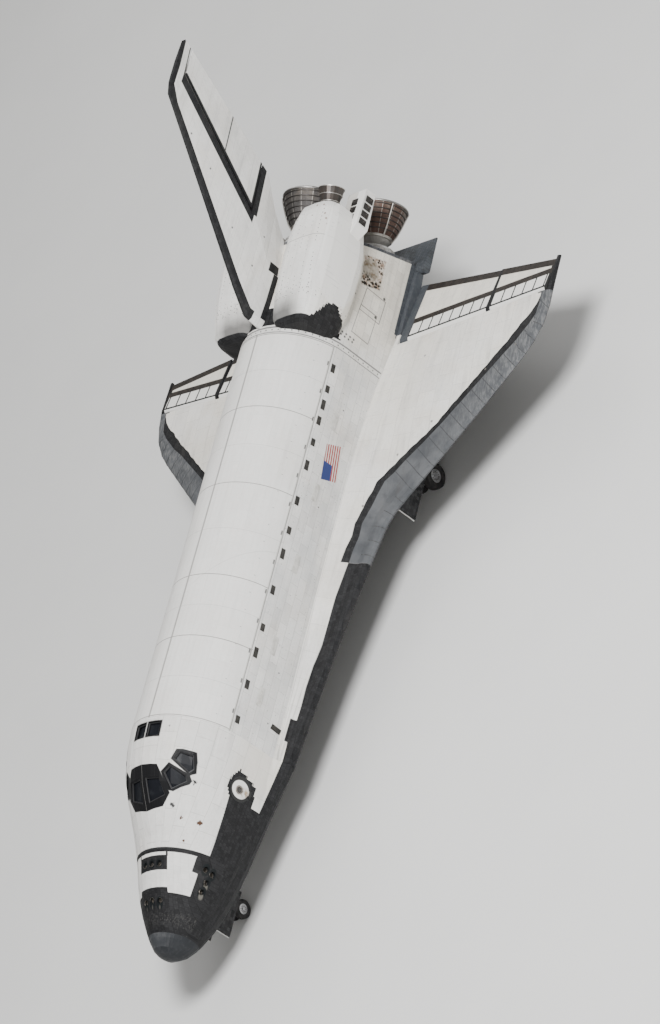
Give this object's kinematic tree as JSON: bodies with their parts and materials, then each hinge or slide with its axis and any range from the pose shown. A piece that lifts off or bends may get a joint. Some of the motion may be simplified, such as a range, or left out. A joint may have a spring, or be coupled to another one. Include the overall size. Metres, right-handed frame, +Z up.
{
  "type": "space shuttle",
  "caption": "Winged space shuttle on its landing gear, with payload bay doors, elevons, body flap, split rudder and steered nose wheels that move.",
  "frame": {"origin": "on the floor, under the middle of the whole object's box", "axes": "+X towards the nose, +Y to port, +Z up; the body is tipped 3.5 degrees nose-down on its wheels"},
  "size_m": [36.3612, 23.792, 17.2441],
  "materials": {
    "bay_door_white": "satin white felt over composite door skin",
    "bay_lining": "white fabric liner and frames",
    "bell_metal": "heat-browned nickel alloy",
    "cabin_grey": "matt painted panels",
    "carbon_grey": "satin grey coated carbon composite",
    "elevon_white": "matt cream-aged white tile",
    "gear_metal": "white-grey painted steel and aluminium",
    "pod_bell_metal": "dark coated niobium",
    "radiator_silver": "bright silvered tape",
    "thermal_black": "matt black glazed silica tile",
    "thermal_white": "matt white silica tile and quilted felt blanket",
    "tyre_rubber": "matt black ribbed rubber",
    "window_glass": "dark layered fused silica"
  },
  "bodies": {
    "airframe": {"nose_cap": "carbon_grey", "forward_rcs_module": "thermal_white", "forward_fuselage": "thermal_white", "windscreen": "window_glass", "overhead_windows": "window_glass", "flight_deck": "cabin_grey", "commander_seat": "cabin_grey", "pilot_seat": "cabin_grey", "mid_fuselage": "bay_lining", "aft_fuselage": "thermal_white", "base_heat_shield": "thermal_black", "main_engine_top": "bell_metal", "main_engine_left": "bell_metal", "main_engine_right": "bell_metal", "left_engine_pod": "thermal_white", "right_engine_pod": "thermal_white", "left_pod_engine": "pod_bell_metal", "right_pod_engine": "pod_bell_metal", "left_wing": "thermal_white", "right_wing": "thermal_white", "left_leading_edge": "carbon_grey", "right_leading_edge": "carbon_grey", "fin": "thermal_white", "nose_gear_leg": "gear_metal", "left_main_gear_leg": "gear_metal", "right_main_gear_leg": "gear_metal", "nose_gear_door_left": "thermal_black", "nose_gear_door_right": "thermal_black", "left_main_gear_door": "thermal_black", "right_main_gear_door": "thermal_black"},
    "nose_fork": {"nose_gear_fork": "gear_metal"},
    "nose_wheel_pair": {"nose_wheels": "gear_metal", "nose_tyre_left": "tyre_rubber", "nose_tyre_right": "tyre_rubber"},
    "left_wheel_pair": {"left_main_wheels": "gear_metal", "left_main_tyre_a": "tyre_rubber", "left_main_tyre_b": "tyre_rubber"},
    "right_wheel_pair": {"right_main_wheels": "gear_metal", "right_main_tyre_a": "tyre_rubber", "right_main_tyre_b": "tyre_rubber"},
    "left_door": {"left_bay_door": "bay_door_white", "left_radiators": "radiator_silver"},
    "right_door": {"right_bay_door": "bay_door_white", "right_radiators": "radiator_silver"},
    "hatch": {"side_hatch": "thermal_white"},
    "left_elevon_in": {"left_inboard_elevon": "elevon_white"},
    "left_elevon_out": {"left_outboard_elevon": "elevon_white"},
    "right_elevon_in": {"right_inboard_elevon": "elevon_white"},
    "right_elevon_out": {"right_outboard_elevon": "elevon_white"},
    "flap": {"body_flap": "thermal_black"},
    "rudder": {"rudder_hinge_tube": "gear_metal"},
    "rudder_left": {"left_rudder_panel": "thermal_white"},
    "rudder_right": {"right_rudder_panel": "thermal_white"}
  },
  "joints": [
    {"name": "nose_steering", "type": "hinge", "parent": "airframe", "child": "nose_fork", "pos_m": [14.52802, 0, 1.02484], "axis": [0.061, 0, 0.9981], "range_deg": [-9, 9]},
    {"name": "nose_wheel_spin", "type": "hinge", "parent": "nose_fork", "child": "nose_wheel_pair", "pos_m": [14.49017, 0, 0.406], "axis": [0, 1, 0], "continuous": true},
    {"name": "left_wheel_spin", "type": "hinge", "parent": "airframe", "child": "left_wheel_pair", "pos_m": [-5.72753, 3.454, 0.57], "axis": [0, 1, 0], "continuous": true},
    {"name": "right_wheel_spin", "type": "hinge", "parent": "airframe", "child": "right_wheel_pair", "pos_m": [-5.72753, -3.454, 0.57], "axis": [0, 1, 0], "continuous": true},
    {"name": "left_bay_door_hinge", "type": "hinge", "parent": "airframe", "child": "left_door", "pos_m": [9.58317, 2.64, 5.48647], "axis": [-0.9981, 0, 0.061], "range_deg": [0, 175.5]},
    {"name": "right_bay_door_hinge", "type": "hinge", "parent": "airframe", "child": "right_door", "pos_m": [9.58317, -2.64, 5.48647], "axis": [0.9981, 0, -0.061], "range_deg": [0, 175.5]},
    {"name": "side_hatch_hinge", "type": "hinge", "parent": "airframe", "child": "hatch", "pos_m": [11.40395, 2.568, 3.51063], "axis": [-0.9981, 0, 0.061], "range_deg": [0, 90]},
    {"name": "left_inboard_elevon_hinge", "type": "hinge", "parent": "airframe", "child": "left_elevon_in", "pos_m": [-11.03057, 2.93, 3.38499], "axis": [0.0037, 0.9981, 0.0609], "range_deg": [-25, 40]},
    {"name": "left_outboard_elevon_hinge", "type": "hinge", "parent": "airframe", "child": "left_elevon_out", "pos_m": [-11.01074, 8.24, 3.70916], "axis": [0.0037, 0.9981, 0.0609], "range_deg": [-25, 40]},
    {"name": "right_inboard_elevon_hinge", "type": "hinge", "parent": "airframe", "child": "right_elevon_in", "pos_m": [-11.03057, -2.93, 3.38499], "axis": [-0.0037, 0.9981, -0.0609], "range_deg": [-25, 40]},
    {"name": "right_outboard_elevon_hinge", "type": "hinge", "parent": "airframe", "child": "right_elevon_out", "pos_m": [-11.01074, -8.24, 3.70916], "axis": [-0.0037, 0.9981, -0.0609], "range_deg": [-25, 40]},
    {"name": "body_flap_hinge", "type": "hinge", "parent": "airframe", "child": "flap", "pos_m": [-14.73314, 0, 3.70162], "axis": [0, 1, 0], "range_deg": [-22.5, 11.7]},
    {"name": "rudder_hinge", "type": "hinge", "parent": "airframe", "child": "rudder", "pos_m": [-13.47189, 0, 11.21864], "axis": [-0.5195, 0, 0.8545], "range_deg": [-27.1, 27.1]},
    {"name": "left_speed_brake_hinge", "type": "hinge", "parent": "rudder", "child": "rudder_left", "pos_m": [-13.47189, 0, 11.21864], "axis": [0.5195, 0, -0.8545], "range_deg": [0, 49.3]},
    {"name": "right_speed_brake_hinge", "type": "hinge", "parent": "rudder", "child": "rudder_right", "pos_m": [-13.47189, 0, 11.21864], "axis": [-0.5195, 0, 0.8545], "range_deg": [0, 49.3]}
  ]
}
